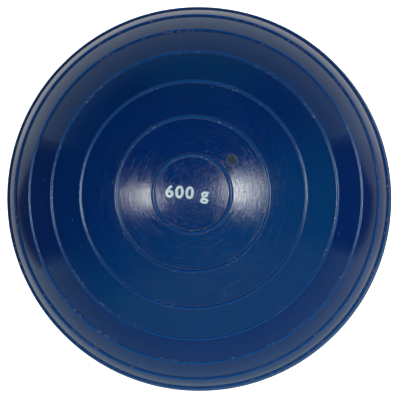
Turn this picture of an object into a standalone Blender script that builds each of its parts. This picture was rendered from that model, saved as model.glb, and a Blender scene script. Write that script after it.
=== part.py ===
"""Javelin training ball: a ribbed hollow plastic ball, weighted with dry sand.

Two moulded half shells meet at the equator with a tongue and a groove, and a weld bead fills the
seam outside. Sand goes in through a moulded neck at the lower pole, which a pressed plug closes.
Metres, +Z up along the axis of the ribs, origin at the centre of the ball.
"""

from math import asin, cos, pi, radians, sin, sqrt

import bmesh
import bpy

# Ball and wall
BALL_RADIUS = 0.0475          # smooth surface between the ribs
SHELL_WALL = 0.005            # moulded wall of both halves

# Grip ribs, the same on each half, placed by their angle from the pole
RIB_ANGLES_DEG = (11.25, 22.8, 34.75, 46.5, 57.85, 68.65, 78.3)
RIB_HEIGHT = 0.0005
RIB_FOOT_WIDTH = 0.00095
RIB_TOP_WIDTH = 0.0004

# Joint at the equator
CLEARANCE = 0.0003            # between pieces that touch
TONGUE_INSET = 0.0013         # inner face of the wall to inner face of the tongue
TONGUE_THICKNESS = 0.0016
TONGUE_HEIGHT = 0.0025

# Weld bead in the seam outside
WELD_DEPTH = 0.001            # depth of the V between the two rims
WELD_HALF_WIDTH = 0.0012      # of the V, at the surface
BEAD_PROUD = 0.00018          # what the trimmed bead stands above the ball
BEAD_TOP_WIDTH = 0.0012

# Filler neck and plug at the lower pole
FILLER_BORE_RADIUS = 0.0045
NECK_WALL = 0.004
NECK_LENGTH = 0.005           # from the inner face of the wall, into the ball
SEAT_DEPTH = 0.0022           # counterbore for the plug's head, below the pole
PLUG_HEAD_OVERLAP = 0.002     # of the head over the bore, on each side
PLUG_FLAT_RADIUS = 0.0035     # flat centre of the head
PLUG_RING_COUNT = 4           # grip rings round the shank
PLUG_RING_HEIGHT = 0.0004

# Sand
SAND_LEVEL = 0.024            # level top of the sand, above the centre

# Fineness of the turned solids
TURN_STEPS = 48
ARC_STEP_DEG = 6.0

INNER_RADIUS = BALL_RADIUS - SHELL_WALL
NECK_RADIUS = FILLER_BORE_RADIUS + NECK_WALL
NECK_END = INNER_RADIUS - NECK_LENGTH
PLUG_HEAD_RADIUS = FILLER_BORE_RADIUS + PLUG_HEAD_OVERLAP
SEAT_RADIUS = PLUG_HEAD_RADIUS + CLEARANCE
SEAT_HEIGHT = BALL_RADIUS - SEAT_DEPTH
RIM_HEIGHT = CLEARANCE / 2    # each rim stops short of the equator
TONGUE_INNER = INNER_RADIUS + TONGUE_INSET
TONGUE_OUTER = TONGUE_INNER + TONGUE_THICKNESS


def make_material(name, colour, roughness):
    material = bpy.data.materials.new(name)
    material.use_nodes = True
    shader = material.node_tree.nodes["Principled BSDF"]
    shader.inputs["Base Color"].default_value = (*colour, 1.0)
    shader.inputs["Roughness"].default_value = roughness
    shader.inputs["Metallic"].default_value = 0.0
    material.diffuse_color = (*colour, 1.0)
    return material


def on_sphere(radius, angle):
    """(r, z) on a sphere about the origin, angle in radians from the pole."""
    return (radius * sin(angle), radius * cos(angle))


def height_at(radius, r):
    """Height of the sphere above its equator, at distance r from the axis."""
    return sqrt(radius * radius - r * r)


def arc(radius, start, end):
    """Points between two angles from the pole, without the two ends."""
    count = max(1, round(abs(end - start) / radians(ARC_STEP_DEG)))
    steps = [start + (end - start) * i / count for i in range(1, count)]
    return [on_sphere(radius, angle) for angle in steps]


def turned(name, outline, material, ring=False):
    """Closed solid turned about Z from an (r, z) outline: from axis to axis, or a closed ring."""
    bm = bmesh.new()
    verts = [bm.verts.new((r, 0.0, z)) for r, z in outline]
    ends = verts[1:] + verts[:1] if ring else verts[1:]
    edges = [bm.edges.new(pair) for pair in zip(verts, ends)]
    bmesh.ops.spin(
        bm,
        geom=verts + edges,
        cent=(0.0, 0.0, 0.0),
        axis=(0.0, 0.0, 1.0),
        angle=2.0 * pi,
        steps=TURN_STEPS,
        use_merge=True,
    )
    bmesh.ops.remove_doubles(bm, verts=bm.verts, dist=1e-6)
    bmesh.ops.recalc_face_normals(bm, faces=bm.faces)
    mesh = bpy.data.meshes.new(name)
    bm.to_mesh(mesh)
    bm.free()
    mesh.materials.append(material)
    mesh.shade_smooth()
    mesh.set_sharp_from_angle(angle=radians(30.0))
    piece = bpy.data.objects.new(name, mesh)
    bpy.context.scene.collection.objects.link(piece)
    return piece


def ribbed_outside(start):
    """Outer surface of a half, from an angle near the pole down to the edge of the weld V."""
    foot = RIB_FOOT_WIDTH / 2 / BALL_RADIUS
    top = RIB_TOP_WIDTH / 2 / BALL_RADIUS
    points = []
    reached = start
    for angle_deg in RIB_ANGLES_DEG:
        angle = radians(angle_deg)
        points += arc(BALL_RADIUS, reached, angle - foot)
        points.append(on_sphere(BALL_RADIUS, angle - foot))
        points.append(on_sphere(BALL_RADIUS + RIB_HEIGHT, angle - top))
        points.append(on_sphere(BALL_RADIUS + RIB_HEIGHT, angle + top))
        points.append(on_sphere(BALL_RADIUS, angle + foot))
        reached = angle + foot
    edge = pi / 2 - asin(WELD_HALF_WIDTH / BALL_RADIUS)
    points += arc(BALL_RADIUS, reached, edge)
    points.append(on_sphere(BALL_RADIUS, edge))
    return points


def tongue_rim():
    """Rim with its tongue, from the foot of the weld V in to the bore of the shell."""
    return [
        (BALL_RADIUS - WELD_DEPTH, RIM_HEIGHT),
        (TONGUE_OUTER, RIM_HEIGHT),
        (TONGUE_OUTER, -TONGUE_HEIGHT),
        (TONGUE_INNER, -TONGUE_HEIGHT),
        (TONGUE_INNER, RIM_HEIGHT),
        (INNER_RADIUS, RIM_HEIGHT),
    ]


def groove_rim():
    """The other rim: its groove takes the tongue with the clearance all round."""
    floor = TONGUE_HEIGHT + CLEARANCE
    return [
        (BALL_RADIUS - WELD_DEPTH, RIM_HEIGHT),
        (TONGUE_OUTER + CLEARANCE, RIM_HEIGHT),
        (TONGUE_OUTER + CLEARANCE, floor),
        (TONGUE_INNER - CLEARANCE, floor),
        (TONGUE_INNER - CLEARANCE, RIM_HEIGHT),
        (INNER_RADIUS, RIM_HEIGHT),
    ]


def marked_shell_outline():
    """Half with the weight mark at its pole: closed at the pole, tongue at the rim."""
    pole = on_sphere(BALL_RADIUS, 0.0)
    inner_pole = on_sphere(INNER_RADIUS, 0.0)
    inside = arc(INNER_RADIUS, pi / 2, 0.0)
    return [pole] + ribbed_outside(0.0) + tongue_rim() + inside + [inner_pole]


def filler_shell_outline():
    """Half with the filler neck: groove at the rim, counterbore and bore at the pole."""
    seat_edge = asin(SEAT_RADIUS / BALL_RADIUS)
    neck_foot = asin(NECK_RADIUS / INNER_RADIUS)
    neck = [
        on_sphere(INNER_RADIUS, neck_foot),
        (NECK_RADIUS, NECK_END),
        (FILLER_BORE_RADIUS, NECK_END),
        (FILLER_BORE_RADIUS, SEAT_HEIGHT),
        (SEAT_RADIUS, SEAT_HEIGHT),
    ]
    outside = [on_sphere(BALL_RADIUS, seat_edge)] + ribbed_outside(seat_edge)
    return outside + groove_rim() + arc(INNER_RADIUS, pi / 2, neck_foot) + neck


def bead_outline():
    """Weld bead: a wedge in the V, trimmed a little above the ball."""
    slope = (WELD_HALF_WIDTH - RIM_HEIGHT) / WELD_DEPTH
    drawn_in = CLEARANCE * sqrt(1.0 + slope * slope)
    half_width = WELD_HALF_WIDTH - drawn_in
    root = BALL_RADIUS - half_width / slope
    crest = BALL_RADIUS + BEAD_PROUD
    return [
        (root, 0.0),
        (BALL_RADIUS, half_width),
        (crest, BEAD_TOP_WIDTH / 2),
        (crest, -BEAD_TOP_WIDTH / 2),
        (BALL_RADIUS, -half_width),
    ]


def plug_outline():
    """Plug in the frame of the filler half: flat-centred head, and a shank with grip rings."""
    shank = FILLER_BORE_RADIUS - CLEARANCE
    root = shank - PLUG_RING_HEIGHT
    head_under = SEAT_HEIGHT + CLEARANCE
    shank_end = NECK_END + CLEARANCE
    pitch = (head_under - shank_end) / PLUG_RING_COUNT
    points = [
        (0.0, BALL_RADIUS),
        (PLUG_FLAT_RADIUS, BALL_RADIUS),
        (PLUG_HEAD_RADIUS, height_at(BALL_RADIUS, PLUG_HEAD_RADIUS)),
        (PLUG_HEAD_RADIUS, head_under),
    ]
    for i in range(PLUG_RING_COUNT):
        ring_top = head_under - i * pitch
        points.append((root, ring_top))
        points.append((shank, ring_top - pitch / 2))
        points.append((root, ring_top - pitch))
    points = [p for i, p in enumerate(points) if i == 0 or p != points[i - 1]]
    return points + [(0.0, shank_end)]


def sand_outline():
    """Sand with a level top, lying in the shell and round the filler neck."""
    radius = INNER_RADIUS - CLEARANCE
    level = asin(SAND_LEVEL / radius)
    neck_side = NECK_RADIUS + CLEARANCE
    neck_foot = pi - asin(neck_side / radius)
    neck_over = -(NECK_END - CLEARANCE)
    return (
        [(0.0, SAND_LEVEL), on_sphere(radius, pi / 2 - level)]
        + arc(radius, pi / 2 - level, neck_foot)
        + [on_sphere(radius, neck_foot), (neck_side, neck_over), (0.0, neck_over)]
    )


def build():
    for old in list(bpy.data.objects):
        bpy.data.objects.remove(old, do_unlink=True)

    blue_vinyl = make_material("blue_vinyl", (0.010, 0.050, 0.180), 0.30)
    plug_vinyl = make_material("plug_vinyl", (0.012, 0.045, 0.150), 0.40)
    weld_vinyl = make_material("weld_vinyl", (0.020, 0.070, 0.200), 0.50)
    dry_sand = make_material("dry_sand", (0.520, 0.400, 0.260), 0.95)

    centre = bpy.data.objects.new("ball_centre", None)
    bpy.context.scene.collection.objects.link(centre)

    marked = turned("marked_shell", marked_shell_outline(), blue_vinyl)
    filler = turned("filler_shell", filler_shell_outline(), blue_vinyl, ring=True)
    bead = turned("seam_bead", bead_outline(), weld_vinyl, ring=True)
    plug = turned("filler_plug", plug_outline(), plug_vinyl)
    sand = turned("sand_fill", sand_outline(), dry_sand)

    for piece in (marked, filler, bead, plug, sand):
        piece.parent = centre
    # The filler half and its plug are made pole up, and turned over to close the ball.
    for piece in (filler, plug):
        piece.rotation_euler = (pi, 0.0, 0.0)


build()
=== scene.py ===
"""Looks of a javelin training ball: a ribbed ball of blue moulded vinyl, weighted with sand.

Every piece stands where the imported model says: metres, origin at the centre of the ball, +Z out of
the pole with the weight mark. The sections follow the ball as it is put together.
"""

from itertools import product
from math import asin, atan2, cos, hypot, pi, radians, sin, sqrt

import bmesh
import bpy
from mathutils import Matrix, Vector


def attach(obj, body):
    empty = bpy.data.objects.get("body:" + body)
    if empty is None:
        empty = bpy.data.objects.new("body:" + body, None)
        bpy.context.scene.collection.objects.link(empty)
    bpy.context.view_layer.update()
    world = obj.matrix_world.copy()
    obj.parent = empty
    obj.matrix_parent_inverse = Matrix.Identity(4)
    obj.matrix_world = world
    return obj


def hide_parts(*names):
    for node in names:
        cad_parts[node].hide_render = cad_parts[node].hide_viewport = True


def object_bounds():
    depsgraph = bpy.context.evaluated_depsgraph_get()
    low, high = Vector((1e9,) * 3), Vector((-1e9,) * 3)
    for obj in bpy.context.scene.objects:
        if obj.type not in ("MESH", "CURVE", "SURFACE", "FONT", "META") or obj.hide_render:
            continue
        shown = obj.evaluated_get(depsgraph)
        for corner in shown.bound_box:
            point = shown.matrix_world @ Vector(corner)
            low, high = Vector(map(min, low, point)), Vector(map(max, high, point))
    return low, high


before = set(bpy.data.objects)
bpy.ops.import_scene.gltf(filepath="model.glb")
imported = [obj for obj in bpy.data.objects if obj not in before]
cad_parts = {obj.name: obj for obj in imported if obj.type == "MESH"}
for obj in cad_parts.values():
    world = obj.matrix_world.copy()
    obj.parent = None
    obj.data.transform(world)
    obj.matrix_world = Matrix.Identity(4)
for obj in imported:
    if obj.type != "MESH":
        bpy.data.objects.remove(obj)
cad_low, cad_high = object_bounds()


# Sand fill: dry silica sand, poured in through the neck of the filler half until the ball has its
# weight. It is shut in the ball, so its CAD solid stays as it is and only gets the grains of sand.

SAND_GRAIN = 0.0005
SAND_PALE = (0.620, 0.500, 0.340, 1.0)
SAND_TAN = (0.420, 0.290, 0.160, 1.0)
SAND_DARK = (0.150, 0.100, 0.060, 1.0)
SAND_QUARTZ = (0.800, 0.760, 0.700, 1.0)


def feed(tree, node, values):
    """Sets inputs of a node, by name or number: an output is linked, anything else is a value."""
    for name, value in dict(values).items():
        if isinstance(value, bpy.types.NodeSocket):
            tree.links.new(value, node.inputs[name])
        else:
            node.inputs[name].default_value = value
    return node


def add_node(tree, kind, values=(), **settings):
    """A shader node with its settings, fed with its values."""
    made = tree.nodes.new("ShaderNode" + kind)
    for name, value in settings.items():
        setattr(made, name, value)
    return feed(tree, made, values)


def new_finish(name, colour, roughness):
    """A new material, with its node tree and its shader, in one plain colour to start from."""
    material = bpy.data.materials.new(name)
    material.use_nodes = True
    material.diffuse_color = colour
    shader = material.node_tree.nodes["Principled BSDF"]
    feed(material.node_tree, shader, {"Base Color": colour, "Roughness": roughness})
    return material, material.node_tree, shader


def object_place(tree):
    """The place of a point on its piece, in metres."""
    return add_node(tree, "TexCoord").outputs["Object"]


def ramp(tree, value, stops):
    """The colour that a value has on a ramp of stops, each a place and a colour."""
    made = add_node(tree, "ValToRGB", {"Fac": value})
    made.color_ramp.elements[0].position = stops[0][0]
    made.color_ramp.elements[0].color = stops[0][1]
    made.color_ramp.elements[1].position = stops[-1][0]
    made.color_ramp.elements[1].color = stops[-1][1]
    for place, colour in stops[1:-1]:
        made.color_ramp.elements.new(place).color = colour
    return made.outputs["Color"]


def relief(tree, height, strength, depth, **settings):
    """The normals of a relief that stands as high as its depth says."""
    values = {"Height": height, "Strength": strength, "Distance": depth}
    return add_node(tree, "Bump", values, **settings).outputs["Normal"]


dry_sand, tree, shader = new_finish("dry_sand", SAND_TAN, 0.95)
grains = add_node(tree, "TexVoronoi", {"Vector": object_place(tree), "Scale": 1.0 / SAND_GRAIN})
tones = ramp(
    tree,
    grains.outputs["Color"],
    [(0.0, SAND_DARK), (0.12, SAND_TAN), (0.75, SAND_PALE), (1.0, SAND_QUARTZ)],
)
bumps = relief(tree, grains.outputs["Distance"], 0.8, 0.5 * SAND_GRAIN, invert=True)
feed(tree, shader, {"Base Color": tones, "Normal": bumps})
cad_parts["sand_fill"].material_slots[0].material = dry_sand


# Filler half: moulded blue vinyl, 5 mm thick, with seven grip ribs, a grooved rim, and a neck at
# the pole for the sand. Its mould was turned on a lathe, which left fine marks round the axis.

BALL_RADIUS = cad_high.z
WALL = 0.005
RIB_ANGLES = [radians(angle) for angle in (11.2, 22.75, 34.65, 46.4, 57.85, 68.85, 79.3)]
RIB_HEIGHT = 0.00042
RIB_FOOT = 0.00042            # half widths
RIB_TOP = 0.00014
CREST_ROUNDING = 0.000132
FOOT_ROUNDING = 0.00012
BAND_EASE = 0.00025           # from a rib's foot to where the band has its own curve
BAND_FLATNESS = 0.3           # 0 is the curve of the ball, 1 is straight from rib to rib
CAP_FLATNESS = 0.40
ARC_STEP = radians(1.5)
CAP_STEP = radians(0.75)
BORE_STEPS = 30
ROUNDING_STEPS = 7
TURN_STEPS = 256
SHARP_CORNER = radians(40.0)
SKIN_DEPTH = 0.0004           # how far in a point of the outside may lie,
RIB_SKIN_DEPTH = 0.0001       # and the middle of a rib's face
FOOT_SHADE_REACH = 0.00024    # of the shade at a rib's foot, to each side
RIM = 0.00015                 # each rim stops short of the equator
GROOVE_INNER = BALL_RADIUS - WALL + 0.001
GROOVE_OUTER = GROOVE_INNER + 0.0022
GROOVE_FLOOR = 0.0028
WELD_DEPTH = 0.001            # of the V that both rims leave for the seam bead
WELD_HALF_WIDTH = 0.0012
WELD_ROUNDING = 0.00015
BORE_RADIUS = 0.0045
BORE_ROUNDING = 0.0001
NECK_RADIUS = 0.0085
NECK_END = BALL_RADIUS - WALL - 0.005
NECK_ROUNDING = 0.0003
SEAT_RADIUS = 0.0068          # counterbore for the head of the plug
SEAT_HEIGHT = BALL_RADIUS - 0.0022
SEAT_ROUNDING = 0.0002
SEAT_LIP = radians(0.5)       # plain ball left round the counterbore

# In the looks, a pair called an edge is where a soft edge starts and where it is full.
GRIT_EDGE = (0.58, 0.67)
DIRT_PATCH_EDGE = (0.43, 0.61)
BLUE = (0.0003, 0.0140, 0.093, 1.0)
BLUE_DEEP = (0.0002, 0.0100, 0.069, 1.0)
BLUE_WORN = (0.0001, 0.0250, 0.126, 1.0)        # ribs near the pole
BLUE_RIBS_SEAMWARD = (0.0001, 0.0350, 0.158, 1.0)      # ribs near the seam
BLUE_SCUFFED = (0.0012, 0.0370, 0.165, 1.0)
# The next blue is the buffed belt's lighter blue: real buffing, and partly painted light for the
# light that the rim catches.
BLUE_BUFFED_AND_LIT = (0.0004, 0.0600, 0.205, 1.0)
# The next blue is painted shade: it darkens the crease where a band meets a rib.
BLUE_SHADED = (0.0001, 0.0085, 0.058, 1.0)      # where a band meets a rib
FOOT_DIRT = (0.200, 0.150, 0.110, 1.0)
DUST = (0.330, 0.330, 0.320, 1.0)
STAIN = (0.0020, 0.0100, 0.0180, 1.0)


def on_ball(radius, angle):
    """(r, z) at a distance from the centre, angle in radians from the pole."""
    return (radius * sin(angle), radius * cos(angle))


def band_radius(angle, start, end, flatness):
    """Distance from the centre of a band between two angles, eased from the ball to a cone."""
    middle = (start + end) / 2.0
    chord = BALL_RADIUS * cos((end - start) / 2.0) / cos(angle - middle)
    return BALL_RADIUS + flatness * (chord - BALL_RADIUS)


def band(start, end, flatness):
    """Outline points of a band between two ribs, without its two ends."""
    ease = BAND_EASE / BALL_RADIUS
    count = max(2, round((end - start - 2.0 * ease) / ARC_STEP))
    inner = [start + ease + (end - start - 2.0 * ease) * i / count for i in range(count + 1)]
    return [on_ball(band_radius(angle, start, end, flatness), angle) + (0.0,) for angle in inner]


def cap_radius(angle):
    """Distance from the centre of the cap inside the first rib, a little flatter than the ball."""
    foot = RIB_ANGLES[0] - RIB_FOOT / BALL_RADIUS
    return BALL_RADIUS + CAP_FLATNESS * (BALL_RADIUS * cos(foot) / cos(angle) - BALL_RADIUS)


def cap(start, end):
    """Outline points of the cap, from beyond one angle to just inside the first rib."""
    last = end - BAND_EASE / BALL_RADIUS
    angles = [CAP_STEP * i for i in range(1, int(last / CAP_STEP) + 1)]
    angles = [angle for angle in angles if start < angle] + [last]
    return [on_ball(cap_radius(angle), angle) + (0.0,) for angle in angles]


def ribbed_outside(start):
    """Outline of a half from an angle near its pole to its weld V: (r, z, rounding) points."""
    foot = RIB_FOOT / BALL_RADIUS
    top = RIB_TOP / BALL_RADIUS
    edge = pi / 2.0 - asin(WELD_HALF_WIDTH / BALL_RADIUS)
    points = []
    for i, angle in enumerate(RIB_ANGLES):
        if i == 0:
            points += cap(start, angle - foot)
        else:
            points += band(RIB_ANGLES[i - 1] + foot, angle - foot, BAND_FLATNESS)
        points.append(on_ball(BALL_RADIUS, angle - foot) + (FOOT_ROUNDING,))
        points.append(on_ball(BALL_RADIUS + RIB_HEIGHT, angle - top) + (CREST_ROUNDING,))
        points.append(on_ball(BALL_RADIUS + RIB_HEIGHT, angle + top) + (CREST_ROUNDING,))
        points.append(on_ball(BALL_RADIUS, angle + foot) + (FOOT_ROUNDING,))
    points += band(RIB_ANGLES[-1] + foot, edge, 0.0)
    points.append(on_ball(BALL_RADIUS, edge) + (WELD_ROUNDING,))
    return points


def inside(start, end):
    """Hollow side of a half between two angles, without its two ends."""
    angles = [start + (end - start) * i / BORE_STEPS for i in range(1, BORE_STEPS)]
    return [on_ball(BALL_RADIUS - WALL, angle) + (0.0,) for angle in angles]


def turned(name, outline, material, steps, ring=False, turned_over=False):
    """Closed shape turned about Z from (r, z, rounding) points, from axis to axis or as a ring."""
    bm = bmesh.new()
    verts = [bm.verts.new((r, 0.0, z)) for r, z, _ in outline]
    ends = verts[1:] + verts[:1] if ring else verts[1:]
    for pair in zip(verts, ends):
        bm.edges.new(pair)
    for rounding in sorted({point[2] for point in outline} - {0.0}):
        corners = [vert for vert, point in zip(verts, outline) if point[2] == rounding]
        bmesh.ops.bevel(
            bm,
            geom=corners,
            offset=rounding,
            offset_type="OFFSET",
            segments=ROUNDING_STEPS,
            profile=0.5,
            affect="VERTICES",
            material=-1,
        )
    bmesh.ops.spin(
        bm,
        geom=bm.verts[:] + bm.edges[:],
        cent=(0.0, 0.0, 0.0),
        axis=(0.0, 0.0, 1.0),
        angle=2.0 * pi,
        steps=steps,
        use_merge=True,
    )
    bmesh.ops.remove_doubles(bm, verts=bm.verts, dist=1e-6)
    if turned_over:
        half_turn = Matrix.Rotation(pi, 3, "X")
        bmesh.ops.rotate(bm, verts=bm.verts, cent=(0.0, 0.0, 0.0), matrix=half_turn)
    bmesh.ops.recalc_face_normals(bm, faces=bm.faces)
    return new_piece(name, bm, material, SHARP_CORNER)


def new_piece(name, bm, material, sharp):
    """The object of a finished bmesh, smooth but for its sharp edges, at the origin."""
    mesh = bpy.data.meshes.new(name)
    bm.to_mesh(mesh)
    bm.free()
    mesh.materials.append(material)
    mesh.shade_smooth()
    mesh.set_sharp_from_angle(angle=sharp)
    piece = bpy.data.objects.new(name, mesh)
    bpy.context.scene.collection.objects.link(piece)
    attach(piece, "root")
    return piece


def beside_rib(point):
    """Distance over the ball from the middle of the nearest rib."""
    angle = atan2(hypot(point.x, point.y), abs(point.z))
    return BALL_RADIUS * min(abs(angle - rib) for rib in RIB_ANGLES)


def finish_ribs(piece):
    """Gives the ribs their own finish, and each point a value that is 1 at the foot of a rib."""
    piece.data.materials.append(rib_vinyl)
    foot = piece.data.attributes.new("rib_foot", "FLOAT", "POINT")
    for i, vert in enumerate(piece.data.vertices):
        if vert.co.length > BALL_RADIUS - SKIN_DEPTH:
            from_foot = abs(beside_rib(vert.co) - RIB_FOOT)
            foot.data[i].value = max(0.0, 1.0 - from_foot / FOOT_SHADE_REACH)
    for face in piece.data.polygons:
        if face.center.length > BALL_RADIUS - RIB_SKIN_DEPTH and beside_rib(face.center) < RIB_FOOT:
            face.material_index = 1


def new_group(name, inputs, outputs):
    """An empty shader node group with float inputs and its outputs, and its two end nodes."""
    group = bpy.data.node_groups.new(name, "ShaderNodeTree")
    kind = "NodeSocketFloat"
    for label, value in inputs:
        socket = group.interface.new_socket(name=label, in_out="INPUT", socket_type=kind)
        socket.default_value = value
    for label in outputs:
        group.interface.new_socket(name=label, in_out="OUTPUT", socket_type=kind)
    given = group.nodes.new("NodeGroupInput").outputs
    return group, given, group.nodes.new("NodeGroupOutput")


def use_group(tree, group, values=()):
    """Places a node group in a material, fed with its own values, and gives its outputs."""
    made = tree.nodes.new("ShaderNodeGroup")
    made.node_tree = group
    return feed(tree, made, values).outputs


def calc(tree, operation, *values, **settings):
    """The result of a sum on outputs and numbers."""
    return add_node(tree, "Math", enumerate(values), operation=operation, **settings).outputs[0]


def spread(tree, value, start, end, low=0.0, high=1.0, soft=True):
    """Draws the range of a value from start to end onto low to high, with soft ends or straight."""
    made = add_node(
        tree,
        "MapRange",
        {"Value": value, "From Min": start, "From Max": end, "To Min": low, "To Max": high},
        interpolation_type="SMOOTHSTEP" if soft else "LINEAR",
    )
    return made.outputs["Result"]


def noise(tree, place, scale, detail):
    """Even noise, from about 0.3 to 0.7."""
    values = {"Vector": place, "Scale": scale, "Detail": detail}
    return add_node(tree, "TexNoise", values).outputs["Fac"]


def seen_along_axis(tree):
    """The parts of a point's place, and its place as it is seen along the axis of the ball."""
    parts = add_node(tree, "SeparateXYZ", {0: object_place(tree)}).outputs
    flat = add_node(tree, "CombineXYZ", {"X": parts["X"], "Y": parts["Y"]})
    return parts, flat.outputs[0]


def round_the_axis(tree):
    """Way round the axis of the ball, a flat unit vector, and angle from the nearer pole."""
    parts, flat = seen_along_axis(tree)
    heading = add_node(tree, "VectorMath", {0: flat}, operation="NORMALIZE")
    reach = add_node(tree, "VectorMath", {0: flat}, operation="LENGTH")
    rise = calc(tree, "ABSOLUTE", parts["Z"])
    return heading.outputs[0], calc(tree, "ARCTAN2", reach.outputs["Value"], rise)


def fine_lines(tree, heading, round_scale, polar, polar_scale, look):
    """Noise with one scale round the axis and another from pole to rim, which makes it lines."""
    along = add_node(tree, "VectorMath", {0: heading, "Scale": round_scale}, operation="SCALE")
    parts = add_node(tree, "SeparateXYZ", {0: along.outputs[0]}).outputs
    across = calc(tree, "MULTIPLY", polar, polar_scale)
    lathe = add_node(tree, "CombineXYZ", {"X": parts["X"], "Y": parts["Y"], "Z": across})
    return add_node(tree, "TexNoise", {"Vector": lathe.outputs[0], **look}).outputs["Fac"]


# Turning marks run round the axis of the ball, finer across than they are long.
turning_marks, given, result = new_group(
    "turning_marks",
    [("Fineness", 120.0), ("Shortness", 6.0), ("Detail", 6.0)],
    ["Height", "Polar"],
)
heading, polar = round_the_axis(turning_marks)
lines = fine_lines(
    turning_marks,
    heading,
    given["Shortness"],
    polar,
    given["Fineness"],
    {"Scale": 1.0, "Detail": given["Detail"], "Roughness": 0.75},
)
feed(turning_marks, result, {"Height": lines, "Polar": polar})

# Buffing marks cross the turning marks at a slant, like the lines that a wheel leaves.
buffing_marks, given, result = new_group(
    "buffing_marks",
    [("Fineness", 230.0), ("Slant", 1.0), ("Shortness", 30.0)],
    ["Height"],
)
heading, polar = round_the_axis(buffing_marks)
swung = add_node(
    buffing_marks,
    "VectorRotate",
    {"Vector": heading, "Angle": calc(buffing_marks, "MULTIPLY", polar, given["Slant"])},
    rotation_type="Z_AXIS",
)
lines = fine_lines(
    buffing_marks,
    swung.outputs[0],
    given["Fineness"],
    polar,
    given["Shortness"],
    {"Scale": 1.0, "Detail": 1.0},
)
feed(buffing_marks, result, {"Height": lines})

# Specks are small round spots, each in a cell of its own, and only some cells have one.
specks, given, result = new_group(
    "specks",
    [("Spacing", 0.0015), ("Size", 0.08), ("Share", 0.05)],
    ["Mask"],
)
place = object_place(specks)
fineness = calc(specks, "DIVIDE", 1.0, given["Spacing"])
cells = add_node(specks, "TexVoronoi", {"Vector": place, "Scale": fineness}).outputs
chance = add_node(specks, "SeparateXYZ", {0: cells["Color"]}).outputs
own_size = calc(specks, "MULTIPLY", chance["Y"], given["Size"])
near = calc(specks, "LESS_THAN", cells["Distance"], own_size)
crowd = spread(specks, noise(specks, place, 60.0, 2.0), 0.35, 0.7, high=2.0, soft=False)
share = calc(specks, "MULTIPLY", crowd, given["Share"])
picked = calc(specks, "LESS_THAN", chance["X"], share)
feed(specks, result, {"Mask": calc(specks, "MULTIPLY", near, picked)})


def beside_foot(tree):
    """The value that finish_ribs gives the points of a half."""
    return add_node(tree, "Attribute", attribute_name="rib_foot").outputs["Fac"]


# Foot dirt lies in broken lines where a band meets a rib.
foot_dirt, given, result = new_group(
    "foot_dirt",
    [("Fineness", 2600.0), ("Amount", 0.5)],
    ["Mask"],
)
place = object_place(foot_dirt)
grit = spread(foot_dirt, noise(foot_dirt, place, given["Fineness"], 2.0), *GRIT_EDGE)
patches = spread(foot_dirt, noise(foot_dirt, place, 170.0, 2.0), *DIRT_PATCH_EDGE)
mask = calc(foot_dirt, "MULTIPLY", grit, patches)
for other in (beside_foot(foot_dirt), given["Amount"]):
    mask = calc(foot_dirt, "MULTIPLY", mask, other)
feed(foot_dirt, result, {"Mask": mask})

# A scratch is a short straight line as seen along the axis of the ball, given by its middle and
# its way.
scratch, given, result = new_group(
    "scratch",
    [
        ("Middle X", 0.0),
        ("Middle Y", 0.0),
        ("Way X", 1.0),
        ("Way Y", 0.0),
        ("Half length", 0.003),
        ("Width", 0.0001),
    ],
    ["Mask"],
)
flat = seen_along_axis(scratch)[1]
middle = add_node(scratch, "CombineXYZ", {"X": given["Middle X"], "Y": given["Middle Y"]})
way = add_node(scratch, "CombineXYZ", {"X": given["Way X"], "Y": given["Way Y"]}).outputs[0]
away = add_node(scratch, "VectorMath", {0: flat, 1: middle.outputs[0]}, operation="SUBTRACT")
both = {0: away.outputs[0], 1: way}
along = add_node(scratch, "VectorMath", both, operation="DOT_PRODUCT").outputs["Value"]
crossed = add_node(scratch, "VectorMath", both, operation="CROSS_PRODUCT").outputs[0]
aside = add_node(scratch, "SeparateXYZ", {0: crossed}).outputs["Z"]
mask = 1.0
for distance, reach in ((along, given["Half length"]), (aside, given["Width"])):
    within = spread(scratch, calc(scratch, "ABSOLUTE", distance), reach, 0.0, soft=False)
    mask = calc(scratch, "MULTIPLY", mask, within)
feed(scratch, result, {"Mask": mask})


def paint(tree, colour, layers):
    """Lays colours over a first one, each where its mask is set, and gives what comes of it."""
    for over, mask in layers:
        values = {"Factor": mask, 6: colour, 7: over}
        colour = add_node(tree, "Mix", values, data_type="RGBA").outputs[2]
    return colour


# The moulded surface of both halves.
VINYL_ROUGHNESS = 0.09
STREAK_ROUGHNESS = 0.25
BUFFED_ROUGHNESS = 0.36
TURNING_DEPTH = 0.000045
STREAK_RELIEF = 0.5           # of the streaks, against that of the marks
BUFFED_EDGE = (radians(79.0), radians(80.2))    # of the buffed belt at the seam
BUFFING_RANGE = (0.38, 0.60, 0.25, 1.0)         # of its noise, and of its tone
MARKED_EDGE = (radians(26.0), radians(52.0))
MARKED_LEAST = 0.2
STREAK_EDGE = (0.48, 0.62)
FOOT_SHADE = 0.85
DIRT_AMOUNT = 0.9
DUST_SHARE = 0.55
FINE_DUST_SHARE = 0.16
SCRATCH_SHARE = 0.35
STAIN_PLACE = (0.00878, 0.00862, 0.04588)
STAIN_SIZE = 0.0018
STAIN_RAGGED = 0.0024         # how much its edge wanders
STAIN_SHARE = 0.85
# Middle x and y, way in degrees, half length and width of the scratches, on both poles.
SCRATCHES = (
    (-0.01290, 0.00730, 12.0, 0.0040, 0.00010),
    (-0.01210, 0.00800, 9.0, 0.0028, 0.00007),
    (-0.01420, 0.00640, 16.0, 0.0022, 0.00007),
    (-0.00250, 0.00760, 84.0, 0.0016, 0.00007),
    (0.01150, 0.00780, 48.0, 0.0022, 0.00007),
    (0.01270, 0.00640, 38.0, 0.0018, 0.00006),
    (0.01265, -0.00738, -62.0, 0.0020, 0.00007),
    (0.00350, -0.01480, 20.0, 0.0016, 0.00006),
    (-0.00620, -0.01300, -35.0, 0.0014, 0.00005),
)

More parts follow.
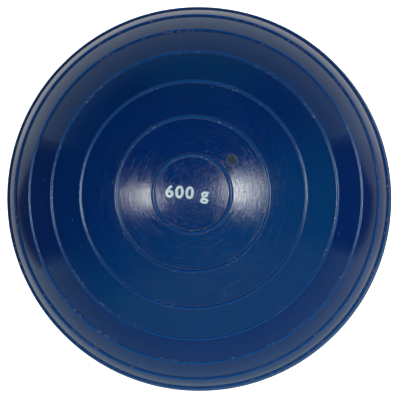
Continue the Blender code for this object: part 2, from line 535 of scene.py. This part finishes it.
shell_vinyl, tree, shader = new_finish("shell_vinyl", BLUE, VINYL_ROUGHNESS)
place = object_place(tree)
marks = use_group(tree, turning_marks)
streak_look = {"Fineness": 170.0, "Shortness": 4.0, "Detail": 1.0}
streaks = use_group(tree, turning_marks, streak_look)["Height"]
# The marks are strongest round the pole, and the outer bands are nearly clean.
marked_share = spread(tree, marks["Polar"], *MARKED_EDGE, 1.0, MARKED_LEAST)
buffing = use_group(tree, buffing_marks)["Height"]
buffed_share = spread(tree, marks["Polar"], *BUFFED_EDGE, soft=False)
buffed_tone = spread(tree, buffing, *BUFFING_RANGE, soft=False)
mottle = calc(tree, "MULTIPLY_ADD", noise(tree, place, 1300.0, 2.0), 2.0, -1.0)
# Painted shade in the crease at each rib's foot, which is also made rougher.
foot_shade_share = calc(tree, "MULTIPLY", beside_foot(tree), FOOT_SHADE)
dirt = use_group(tree, foot_dirt, {"Fineness": 1500.0, "Amount": DIRT_AMOUNT})["Mask"]
dust = use_group(tree, specks, {"Spacing": 0.0013, "Size": 0.11, "Share": 0.035})["Mask"]
fine_dust = use_group(tree, specks, {"Spacing": 0.0007, "Size": 0.10, "Share": 0.05})["Mask"]
stain_way = add_node(tree, "VectorMath", {0: place, 1: STAIN_PLACE}, operation="DISTANCE")
wander = noise(tree, place, 1300.0, 4.0)
wander = calc(tree, "MULTIPLY_ADD", wander, STAIN_RAGGED, -STAIN_RAGGED / 2.0)
stain_reach = calc(tree, "ADD", stain_way.outputs["Value"], wander)
stain_share = spread(tree, stain_reach, STAIN_SIZE, 0.4 * STAIN_SIZE, high=STAIN_SHARE)
scratches = 0.0
for x, y, slope, half_length, width in SCRATCHES:
    values = {
        "Middle X": x,
        "Middle Y": y,
        "Way X": cos(radians(slope)),
        "Way Y": sin(radians(slope)),
        "Half length": half_length,
        "Width": width,
    }
    scratches = calc(tree, "MAXIMUM", scratches, use_group(tree, scratch, values)["Mask"])
colour = paint(
    tree,
    BLUE_DEEP,
    (
        (BLUE, calc(tree, "ADD", noise(tree, place, 90.0, 3.0), mottle)),
        # buffed belt at the seam: lighter blue, partly painted light
        (BLUE_BUFFED_AND_LIT, calc(tree, "MULTIPLY", buffed_share, buffed_tone)),
        # painted shade at the rib feet
        (BLUE_SHADED, foot_shade_share),
        (STAIN, stain_share),
        (BLUE_SCUFFED, calc(tree, "MULTIPLY", scratches, SCRATCH_SHARE)),
        (FOOT_DIRT, dirt),
        (DUST, calc(tree, "MULTIPLY", fine_dust, FINE_DUST_SHARE)),
        (DUST, calc(tree, "MULTIPLY", dust, DUST_SHARE)),
    ),
)
streaked = calc(tree, "MULTIPLY", spread(tree, streaks, *STREAK_EDGE, soft=False), marked_share)
dull = spread(tree, streaked, 0.0, 1.0, VINYL_ROUGHNESS, STREAK_ROUGHNESS, soft=False)
for other in (foot_shade_share, stain_share, calc(tree, "MULTIPLY", buffed_share, BUFFED_ROUGHNESS)):
    dull = calc(tree, "MAXIMUM", dull, other)
heights = calc(tree, "MULTIPLY_ADD", streaks, STREAK_RELIEF, marks["Height"])
bumps = relief(tree, calc(tree, "MULTIPLY", heights, marked_share), 1.0, TURNING_DEPTH)
feed(tree, shader, {"Base Color": colour, "Roughness": dull, "IOR": 1.5, "Normal": bumps})

# The crests of the ribs have been rubbed duller by hands, and are paler than the bands.
RIB_ROUGHNESS = 0.15
RIB_MARK_DEPTH = 0.00004
RIB_FOOT_SHADE = 0.7
RIB_SCUFF_SHARE = 0.5
RIB_SCUFF_EDGE = (0.45, 0.75)
OUTER_RIBS_EDGE = (radians(20.0), radians(65.0))
RIB_SHINE = {"Specular IOR Level": 0.38, "Specular Tint": (0.85, 1.0, 1.0, 1.0)}

rib_vinyl, tree, shader = new_finish("rib_vinyl", BLUE_WORN, RIB_ROUGHNESS)
feed(tree, shader, RIB_SHINE)
marks = use_group(tree, turning_marks, {"Fineness": 150.0, "Shortness": 60.0, "Detail": 3.0})
outer_share = spread(tree, marks["Polar"], *OUTER_RIBS_EDGE, soft=False)
scuffs = noise(tree, object_place(tree), 1500.0, 3.0)
dirt = use_group(tree, foot_dirt, {"Fineness": 1700.0, "Amount": DIRT_AMOUNT})["Mask"]
colour = paint(
    tree,
    BLUE_WORN,
    (
        # paler towards the seam, by angle from the pole
        (BLUE_RIBS_SEAMWARD, outer_share),
        (BLUE_SCUFFED, spread(tree, scuffs, *RIB_SCUFF_EDGE, high=RIB_SCUFF_SHARE, soft=False)),
        # painted shade on the rib's flanks near its foot
        (BLUE_SHADED, calc(tree, "MULTIPLY", beside_foot(tree), RIB_FOOT_SHADE)),
        (FOOT_DIRT, dirt),
    ),
)
bumps = relief(tree, marks["Height"], 0.35, RIB_MARK_DEPTH)
feed(tree, shader, {"Base Color": colour, "Normal": bumps})

seat_edge = asin(SEAT_RADIUS / BALL_RADIUS)
neck_foot = asin(NECK_RADIUS / (BALL_RADIUS - WALL))
filler_outline = [on_ball(BALL_RADIUS, seat_edge) + (SEAT_ROUNDING,)]
filler_outline += ribbed_outside(seat_edge + SEAT_LIP)
filler_outline += [
    (BALL_RADIUS - WELD_DEPTH, RIM, 0.0),
    (GROOVE_OUTER, RIM, 0.0),
    (GROOVE_OUTER, GROOVE_FLOOR, 0.0),
    (GROOVE_INNER, GROOVE_FLOOR, 0.0),
    (GROOVE_INNER, RIM, 0.0),
    (BALL_RADIUS - WALL, RIM, 0.0),
]
filler_outline += inside(pi / 2.0, neck_foot)
filler_outline += [
    on_ball(BALL_RADIUS - WALL, neck_foot) + (0.0,),
    (NECK_RADIUS, NECK_END, NECK_ROUNDING),
    (BORE_RADIUS, NECK_END, NECK_ROUNDING),
    (BORE_RADIUS, SEAT_HEIGHT, BORE_ROUNDING),
    (SEAT_RADIUS, SEAT_HEIGHT, 0.0),
]
filler_half = turned(
    "filler_half",
    filler_outline,
    shell_vinyl,
    TURN_STEPS,
    ring=True,
    turned_over=True,
)
finish_ribs(filler_half)
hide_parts("filler_shell")


# Marked half: the same moulding without the neck, with a tongue on its rim that goes into the
# groove of the filler half. Its pole is closed and carries the weight mark.

TONGUE_INNER = 0.0438
TONGUE_OUTER = 0.0454
TONGUE_HEIGHT = 0.0025
TONGUE_ROUNDING = 0.0002

marked_outline = [(0.0, cap_radius(0.0), 0.0)]
marked_outline += ribbed_outside(0.0)
marked_outline += [
    (BALL_RADIUS - WELD_DEPTH, RIM, 0.0),
    (TONGUE_OUTER, RIM, 0.0),
    (TONGUE_OUTER, -TONGUE_HEIGHT, TONGUE_ROUNDING),
    (TONGUE_INNER, -TONGUE_HEIGHT, TONGUE_ROUNDING),
    (TONGUE_INNER, RIM, 0.0),
    (BALL_RADIUS - WALL, RIM, 0.0),
]
marked_outline += inside(pi / 2.0, 0.0)
marked_outline += [(0.0, BALL_RADIUS - WALL, 0.0)]
marked_half = turned("marked_half", marked_outline, shell_vinyl, TURN_STEPS)
finish_ribs(marked_half)
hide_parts("marked_shell")


# Seam bead: a bead of the same vinyl, laid hot in the V between the two rims, then trimmed and
# buffed nearly flush. The buffing left it duller than the shells, with fine slanting lines.

BEAD_ROOT = 0.04672           # radius where it starts in the V
BEAD_HALF_WIDTH = 0.00084     # at the surface of the ball
BEAD_HALF_TOP = 0.0006
BEAD_PROUD = 0.00018
BEAD_ROUNDING = 0.00015
BEAD_STEPS = 512
BUFFING_DEPTH = 0.00005

# The bead's lighter blue is partly painted light, for the light that the rim catches.
weld_vinyl, tree, shader = new_finish("weld_vinyl", BLUE_BUFFED_AND_LIT, BUFFED_ROUGHNESS)
marks = use_group(tree, buffing_marks)["Height"]
tone = paint(tree, BLUE_DEEP, ((BLUE_BUFFED_AND_LIT, marks),))
feed(tree, shader, {"Base Color": tone, "Normal": relief(tree, marks, 0.6, BUFFING_DEPTH)})
bead_outline = [
    (BEAD_ROOT, 0.0, 0.0),
    (BALL_RADIUS, BEAD_HALF_WIDTH, 0.0),
    (BALL_RADIUS + BEAD_PROUD, BEAD_HALF_TOP, BEAD_ROUNDING),
    (BALL_RADIUS + BEAD_PROUD, -BEAD_HALF_TOP, BEAD_ROUNDING),
    (BALL_RADIUS, -BEAD_HALF_WIDTH, 0.0),
]
weld_bead = turned("weld_bead", bead_outline, weld_vinyl, BEAD_STEPS, ring=True)
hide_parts("seam_bead")


# Filler plug: softer blue vinyl, pressed into the neck once the sand is in. Its head lies in the
# counterbore and the four rings of its shank stand in the bore, all of them 0.3 mm clear.

PLUG_HEAD = 0.0065            # radii of the head,
PLUG_FLAT = 0.0035            # of its flat middle,
PLUG_SHANK = 0.0042           # of the rings,
PLUG_ROOT = 0.0038            # and of the shank between them
PLUG_RINGS = 4
PLUG_CLEARANCE = 0.0003
PLUG_ROUNDING = 0.0002
HEAD_ROUNDING = 0.0003
HEAD_EDGE = 0.0001
PLUG_STEPS = 96
PLUG_ROUGHNESS = 0.3
PLUG_MARK_DEPTH = 0.00003

plug_vinyl, tree, shader = new_finish("plug_vinyl", BLUE_DEEP, PLUG_ROUGHNESS)
mark_look = {"Fineness": 400.0, "Shortness": 3.0, "Detail": 4.0}
marks = use_group(tree, turning_marks, mark_look)["Height"]
tone = paint(tree, BLUE_DEEP, ((BLUE, marks),))
feed(tree, shader, {"Base Color": tone, "Normal": relief(tree, marks, 0.5, PLUG_MARK_DEPTH)})
head_under = SEAT_HEIGHT + PLUG_CLEARANCE
shank_end = NECK_END + PLUG_CLEARANCE
pitch = (head_under - shank_end) / PLUG_RINGS
plug_outline = [
    (0.0, BALL_RADIUS, 0.0),
    (PLUG_FLAT, BALL_RADIUS, PLUG_ROUNDING),
    (PLUG_HEAD, sqrt(BALL_RADIUS ** 2 - PLUG_HEAD ** 2), HEAD_ROUNDING),
    (PLUG_HEAD, head_under, HEAD_EDGE),
    (PLUG_ROOT, head_under, 0.0),
]
for i in range(PLUG_RINGS):
    plug_outline.append((PLUG_SHANK, head_under - (i + 0.5) * pitch, PLUG_ROUNDING))
    plug_outline.append((PLUG_ROOT, head_under - (i + 1) * pitch, 0.0))
plug_outline.append((0.0, shank_end, 0.0))
pressed_plug = turned("pressed_plug", plug_outline, plug_vinyl, PLUG_STEPS, turned_over=True)
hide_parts("filler_plug")


# Weight mark: plain printed figures, one thin coat of pale mint ink on the cap of the marked half.
# The ink follows the curve of the cap and stands a few hundredths of a millimetre proud.

MARK_HEIGHT = 0.00290         # of a figure
MARK_FIGURES = (("6", -0.00537), ("0", -0.00303), ("0", -0.00060), ("g", 0.00300))
MARK_RISE = 0.00025           # of their middle over the pole, in the picture
MARK_WIDTH = 1.03             # of the figures, against those of the lettering
MARK_BOLD = 0.016
MARK_SPREAD = 0.00005         # of the ink, beyond the figures' edges
FIGURE_SIZE = 0.74            # height of the font's figures at size 1
CUT_STEP = 0.0004             # the figures are cut into squares, to bend with the cap
CUT_REACH = 20
INK_PROUD = 0.00003
INK_DEPTH = 0.00006
INK_ROUGHNESS = 0.5
INK_CORNER = radians(30.0)    # edges sharper than this stay sharp
INK = (0.320, 0.395, 0.425, 1.0)
INK_THIN = (0.220, 0.330, 0.380, 1.0)
INK_THICK = (0.450, 0.570, 0.590, 1.0)

mark_ink, tree, shader = new_finish("mark_ink", INK, INK_ROUGHNESS)
mottle = noise(tree, object_place(tree), 1400.0, 3.0)
tones = ramp(tree, mottle, [(0.30, INK_THIN), (0.5, INK), (0.8, INK_THICK)])
feed(tree, shader, {"Base Color": tones})
tall = MARK_HEIGHT / FIGURE_SIZE
wide = tall * MARK_WIDTH
bm = bmesh.new()
for letter, middle in MARK_FIGURES:
    curve = bpy.data.curves.new("figure", "FONT")
    curve.body = letter
    curve.size = 1.0
    curve.offset = MARK_BOLD
    curve.align_x = "CENTER"
    text = bpy.data.objects.new("figure", curve)
    bpy.context.scene.collection.objects.link(text)
    bpy.context.view_layer.update()
    drawn = text.evaluated_get(bpy.context.evaluated_depsgraph_get())
    flat_mesh = bpy.data.meshes.new_from_object(drawn)
    bpy.data.objects.remove(text)
    xs = [vert.co.x for vert in flat_mesh.vertices]
    flat_mesh.transform(
        Matrix.Translation((middle, MARK_RISE - MARK_HEIGHT / 2.0, 0.0))
        @ Matrix.Diagonal((wide, tall, 1.0, 1.0))
        @ Matrix.Translation((-(min(xs) + max(xs)) / 2.0, 0.0, 0.0))
    )
    bm.from_mesh(flat_mesh)
    bpy.data.meshes.remove(flat_mesh)
bmesh.ops.remove_doubles(bm, verts=bm.verts, dist=1e-7)
outwards = {}
for edge in bm.edges:
    if edge.is_boundary:
        face_middle = edge.link_faces[0].calc_center_median()
        start, end = edge.verts
        outward = Vector((end.co.y - start.co.y, start.co.x - end.co.x, 0.0)).normalized()
        if outward.dot(start.co - face_middle) < 0.0:
            outward.negate()
        for vert in edge.verts:
            outwards[vert] = outwards.get(vert, Vector()) + outward
for vert, outward in outwards.items():
    vert.co += outward.normalized() * MARK_SPREAD
for step in range(-CUT_REACH, CUT_REACH + 1):
    for normal in ((1.0, 0.0, 0.0), (0.0, 1.0, 0.0)):
        bmesh.ops.bisect_plane(
            bm,
            geom=bm.verts[:] + bm.edges[:] + bm.faces[:],
            dist=1e-7,
            plane_co=Vector(normal) * step * CUT_STEP,
            plane_no=normal,
        )
for vert in bm.verts:
    r = hypot(vert.co.x, vert.co.y)
    angle = asin(r / BALL_RADIUS)
    up = Vector((vert.co.x, vert.co.y, sqrt(BALL_RADIUS ** 2 - r * r))).normalized()
    vert.co = up * (cap_radius(angle) + INK_PROUD)
under = bmesh.ops.extrude_face_region(bm, geom=bm.faces[:], use_keep_orig=True)["geom"]
for vert in under:
    if isinstance(vert, bmesh.types.BMVert):
        vert.co *= 1.0 - INK_DEPTH / vert.co.length
bmesh.ops.recalc_face_normals(bm, faces=bm.faces)
weight_mark = new_piece("weight_mark", bm, mark_ink, INK_CORNER)


# Studio: the ball lies on a white table between two small softboxes, with black cards on the table
# at both sides, and the camera looks down on the marked pole from nearly straight above.

IMAGE_TURN = radians(4.0)     # the picture's right-hand side, turned from +X
CAMERA_WAY = (0.0356, -0.0273)
CAMERA_DISTANCE = 20.0 * BALL_RADIUS
LENS = 344.10
SENSOR_WIDTH = 36.0
SHIFT = (0.743 / 400.0, -1.094 / 400.0)

to_world = Matrix.Rotation(IMAGE_TURN, 3, "Z")
way = Vector((*CAMERA_WAY, sqrt(1.0 - CAMERA_WAY[0] ** 2 - CAMERA_WAY[1] ** 2)))
right = Vector((1.0, 0.0, 0.0))
right = (right - way * right.dot(way)).normalized()
camera_data = bpy.data.cameras.new("camera")
camera_data.lens = LENS
camera_data.sensor_width = SENSOR_WIDTH
camera_data.shift_x, camera_data.shift_y = SHIFT
camera_data.clip_start = 0.01
camera_data.clip_end = 50.0
camera = bpy.data.objects.new("camera", camera_data)
bpy.context.scene.collection.objects.link(camera)
turn = to_world @ Matrix((right, way.cross(right), way)).transposed()
camera.matrix_world = Matrix.Translation(to_world @ way * CAMERA_DISTANCE) @ turn.to_4x4()
bpy.context.scene.camera = camera
bpy.context.scene.view_settings.view_transform = "Standard"

# The floor is a plain white table. What reflections see of it is a painted glow, brighter close to
# the ball, with the ball's shade and the light that it throws back painted in; each part of that has
# a value here. Distances from the axis are in ball radii.
FLOOR_SIZE = 8.0
FLOOR_WHITE = (0.8, 0.8, 0.8, 1.0)
FLOOR_GLOW = 0.7
MIRROR_FALL = 1.1             # power of the distance that the brightness falls with
MIRROR_MOST = 0.46
MIRROR_FRONT = 0.38           # share of it on the side below the ball in the picture
MIRROR_FRONT_EDGE = (-0.95, 0.10)
MIRROR_FAR = 0.37             # and what the whole table has
MIRROR_FAR_NEAR = 0.6         # share of that close to the ball
MIRROR_FAR_EDGE = (1.8 * BALL_RADIUS, 2.4 * BALL_RADIUS)
MIRROR_SIDES = 0.6            # share of both right beside the ball, next to the cards
MIRROR_SIDES_EDGE = (0.92, 1.0)
MIRROR_REACH = 4.0            # distance at which the profile and the tint end
# The ball's shade, the light that the ball throws back, a darker ring, and the open table.
MIRROR_PROFILE = (
    (1.2, 0.07),
    (1.5, 1.0),
    (1.69, 1.0),
    (1.79, 0.70),
    (1.89, 0.72),
    (2.04, 0.82),
    (2.6, 0.80),
    (3.2, 0.74),
)
# Close round the ball the glow takes a little of its blue: painted light that the ball throws back.
MIRROR_TINT = (
    (1.50, (1.06, 0.98, 1.0)),
    (1.70, (0.95, 1.03, 1.06)),
    (1.82, (0.88, 1.02, 1.28)),
    (2.0, (0.90, 1.02, 1.28)),
    (2.5, (1.0, 1.0, 1.08)),
)
MIRROR_WARM = (1.30, 1.0, 1.0, 1.0)
MIRROR_COOL = (0.4, 1.0, 1.0, 1.0)

floor_paint, tree, shader = new_finish("floor_paint", FLOOR_WHITE, 0.9)
feed(tree, shader, {"Specular IOR Level": 0.0})
parts, flat = seen_along_axis(tree)
reach = add_node(tree, "VectorMath", {0: flat}, operation="LENGTH").outputs["Value"]
distance = calc(tree, "MULTIPLY", reach, 1.0 / (MIRROR_REACH * BALL_RADIUS))
profile = [(r / MIRROR_REACH, (light, light, light, 1.0)) for r, light in MIRROR_PROFILE]
tints = [(r / MIRROR_REACH, (*colour, 1.0)) for r, colour in MIRROR_TINT]
tint = ramp(tree, distance, tints)
sideness = calc(tree, "DIVIDE", calc(tree, "ABSOLUTE", parts["X"]), reach)
side = spread(tree, sideness, *MIRROR_SIDES_EDGE, 1.0, MIRROR_SIDES)
shade = calc(tree, "MULTIPLY", ramp(tree, distance, profile), side)
backness = calc(tree, "DIVIDE", parts["Y"], reach)
front = spread(tree, backness, *MIRROR_FRONT_EDGE, MIRROR_FRONT, 1.0, soft=False)
fade = calc(tree, "POWER", calc(tree, "DIVIDE", BALL_RADIUS, reach), MIRROR_FALL)
near_share = calc(tree, "MINIMUM", fade, MIRROR_MOST)
for other in (shade, front):
    near_share = calc(tree, "MULTIPLY", near_share, other)
far_most = spread(tree, reach, *MIRROR_FAR_EDGE, MIRROR_FAR_NEAR * MIRROR_FAR, MIRROR_FAR)
far_share = calc(tree, "MULTIPLY", shade, far_most)
glows = []
for tone, strength in ((MIRROR_WARM, near_share), (MIRROR_COOL, far_share)):
    mixed = add_node(
        tree,
        "Mix",
        {0: 1.0, 6: tint, 7: tone},
        data_type="RGBA",
        blend_type="MULTIPLY",
    )
    values = {"Color": mixed.outputs[2], "Strength": strength}
    glows.append(add_node(tree, "Emission", values).outputs[0])
# The painted reflection: a glow that only reflections see.
painted_reflection = add_node(tree, "AddShader", enumerate(glows)).outputs[0]
painted = shader.outputs[0]
glow = add_node(tree, "Emission", {"Strength": FLOOR_GLOW}).outputs[0]
white = add_node(tree, "AddShader", {0: painted, 1: glow}).outputs[0]
path = add_node(tree, "LightPath").outputs
seen = add_node(tree, "MixShader", {0: path["Is Camera Ray"], 1: painted, 2: white}).outputs[0]
whole = add_node(tree, "MixShader", {0: path["Is Glossy Ray"], 1: seen, 2: painted_reflection}).outputs[0]
feed(tree, tree.nodes["Material Output"], {"Surface": whole})


def on_table(name, bm, material, lift):
    """A flat thing on or over the table, drawn as the picture shows it and turned into place."""
    bmesh.ops.translate(bm, verts=bm.verts, vec=(0.0, 0.0, cad_low.z + lift))
    mesh = bpy.data.meshes.new(name)
    bm.to_mesh(mesh)
    bm.free()
    mesh.materials.append(material)
    thing = bpy.data.objects.new(name, mesh)
    bpy.context.scene.collection.objects.link(thing)
    thing.rotation_euler.z = IMAGE_TURN
    return thing


bm = bmesh.new()
bmesh.ops.create_grid(bm, x_segments=1, y_segments=1, size=FLOOR_SIZE / 2.0)
on_table("floor", bm, floor_paint, 0.0)

CARD_BLACK = (0.01, 0.01, 0.01, 1.0)
CARD_COVER = 0.6              # what one layer hides of the table under it
CARD_END = 3.5                # metres from the ball
CARD_LIFT = 0.0005            # of the middle layer over the table
CARD_LIFT_STEP = 0.0001       # for each degree that a layer is narrower
CARD_ROUND = 0.35             # how much further out the corners of its near end are
CARD_SLANT = 0.45             # and how much more towards the top of the picture
CARD_STEPS = 12
# Edges of each card as angles in the picture, and where it starts, in ball radii.
CARD_SIDES = ((-18.5, 22.0, 2.65), (160.5, 201.0, 2.25))
# A card is three thin layers, which makes its edges soft: how many degrees each is wider at each
# side, and what it starts at against the middle one.
CARD_LAYERS = ((-2.2, 1.04), (0.0, 1.0), (2.2, 0.96))

black_card, tree, shader = new_finish("black_card", CARD_BLACK, 1.0)
feed(tree, shader, {"Specular IOR Level": 0.0, "Alpha": CARD_COVER})
for (low_side, high_side, near_end), (wider, nearer) in product(CARD_SIDES, CARD_LAYERS):
    low_side, high_side = radians(low_side - wider), radians(high_side + wider)
    middle = (low_side + high_side) / 2.0
    half = (high_side - low_side) / 2.0
    rim = []
    for i in range(CARD_STEPS + 1):
        swing = pi / 2.0 * (2.0 * i / CARD_STEPS - 1.0)
        slant = CARD_SLANT * max(0.0, sin(swing) * cos(middle))
        out = near_end * nearer * BALL_RADIUS * (1.0 + CARD_ROUND * (1.0 - cos(swing)) + slant)
        side_way = middle + half * sin(swing)
        rim.append((out * cos(side_way), out * sin(side_way), 0.0))
    rim.append((CARD_END * cos(high_side), CARD_END * sin(high_side), 0.0))
    rim.append((CARD_END * cos(low_side), CARD_END * sin(low_side), 0.0))
    bm = bmesh.new()
    bm.faces.new([bm.verts.new(point) for point in rim])
    card = on_table("black_card", bm, black_card, CARD_LIFT - wider * CARD_LIFT_STEP)
    card.visible_camera = False
    card.visible_diffuse = False
    card.visible_shadow = False

# The world is even soft light for the ball, white for the camera, and a dim room for reflections.
WHITE = (1.0, 1.0, 1.0, 1.0)
FILL = 0.53                   # the soft light straight above
FILL_SLOPE = (0.70, -0.88, 0.0)     # more of it from this side
FILL_ENDS = 1.22              # and more from the top and the bottom of the picture
ROOM = 0.06
ROOM_COLOUR = (0.06, 1.0, 1.0, 1.0)
WINDOW = 0.34                 # on the side below the ball
WINDOW_WAY = (0.5, -0.866, 0.0)
WINDOW_EDGE = (-0.35, 0.5)
PANE = 0.12                   # its bright pane, low over the table
PANE_WAY = (0.26, -0.966, 0.0)
PANE_EDGE = (0.50, 0.68)
PANE_COLOUR = (0.75, 1.0, 1.0, 1.0)
HAZE = 0.18                   # low on the far side
HAZE_EDGE = (0.84, 0.99)

world = bpy.data.worlds.new("studio")
world.use_nodes = True
bpy.context.scene.world = world
tree = world.node_tree
place = add_node(tree, "TexCoord").outputs["Generated"]
turn_back = {"Vector": place, "Angle": -IMAGE_TURN}
way = add_node(tree, "VectorRotate", turn_back, rotation_type="Z_AXIS").outputs[0]
parts = add_node(tree, "SeparateXYZ", {0: way}).outputs


def facing(towards):
    """How far a way in the room faces another: 1 is straight at it."""
    values = {0: way, 1: towards}
    return add_node(tree, "VectorMath", values, operation="DOT_PRODUCT").outputs["Value"]


ends = calc(tree, "MULTIPLY", parts["Y"], parts["Y"])
sides = calc(tree, "MULTIPLY", parts["X"], parts["X"])
lean = calc(tree, "SUBTRACT", ends, sides)
level = calc(tree, "MULTIPLY_ADD", lean, FILL_ENDS, FILL)
level = calc(tree, "MAXIMUM", calc(tree, "ADD", level, facing(FILL_SLOPE)), 0.0)
fill = feed(tree, tree.nodes["Background"], {"Color": WHITE, "Strength": level}).outputs[0]
window = spread(tree, facing(WINDOW_WAY), *WINDOW_EDGE, ROOM, ROOM + WINDOW)
haze = spread(tree, parts["Y"], *HAZE_EDGE, high=HAZE)
room = {"Color": ROOM_COLOUR, "Strength": calc(tree, "ADD", window, haze)}
pane_light = spread(tree, facing(PANE_WAY), *PANE_EDGE, high=PANE)
pane = {"Color": PANE_COLOUR, "Strength": pane_light}
lights = [add_node(tree, "Background", values).outputs[0] for values in (room, pane)]
indoors = add_node(tree, "AddShader", enumerate(lights)).outputs[0]
white = add_node(tree, "Background", {"Color": WHITE}).outputs[0]
path = add_node(tree, "LightPath").outputs
unseen = add_node(tree, "MixShader", {0: path["Is Glossy Ray"], 1: fill, 2: indoors}).outputs[0]
whole = add_node(tree, "MixShader", {0: path["Is Camera Ray"], 1: unseen, 2: white}).outputs[0]
feed(tree, tree.nodes["World Output"], {"Surface": whole})

LAMP_DISTANCE = 0.6
LAMP_COLOUR = (1.0, 0.94, 0.89)
LAMP_EDGE = (0.25, 0.48)      # where its light fades, in shares of its size from its middle
LAMP_EDGE_RED = 0.05          # what the dimmer edge of the diffuser lacks of red
# Azimuth in the picture, angle from the axis, peak radiance, half size outwards and across.
LAMPS = ((6.8, 22.4, 41.0, 0.076, 0.114), (180.2, 25.6, 50.0, 0.066, 0.066))

for azimuth, tilt, peak, half_out, half_across in LAMPS:
    azimuth, tilt = radians(azimuth), radians(tilt)
    aim = to_world @ Vector((sin(tilt) * cos(azimuth), sin(tilt) * sin(azimuth), cos(tilt)))
    across = to_world @ Vector((-sin(azimuth), cos(azimuth), 0.0))
    lamp_data = bpy.data.lights.new("softbox", "AREA")
    lamp_data.shape = "RECTANGLE"
    lamp_data.size = 2.0 * half_across
    lamp_data.size_y = 2.0 * half_out
    lamp_data.energy = peak * pi * lamp_data.size * lamp_data.size_y
    lamp_data.color = LAMP_COLOUR
    lamp_data.use_nodes = True
    tree = lamp_data.node_tree
    spot = add_node(tree, "NewGeometry").outputs["Parametric"]
    values = {0: spot, 1: (0.5, 0.5, 0.0)}
    away = add_node(tree, "VectorMath", values, operation="DISTANCE").outputs["Value"]
    soft = spread(tree, away, *LAMP_EDGE, 1.0, 0.0)
    red = calc(tree, "SUBTRACT", soft, LAMP_EDGE_RED, use_clamp=True)
    tint = add_node(tree, "CombineColor", {0: red, 1: soft, 2: soft}).outputs[0]
    feed(tree, tree.nodes["Emission"], {"Color": tint})
    lamp = bpy.data.objects.new("softbox", lamp_data)
    bpy.context.scene.collection.objects.link(lamp)
    frame_axes = Matrix((across, aim.cross(across), aim)).transposed()
    lamp.matrix_world = Matrix.Translation(aim * LAMP_DISTANCE) @ frame_axes.to_4x4()
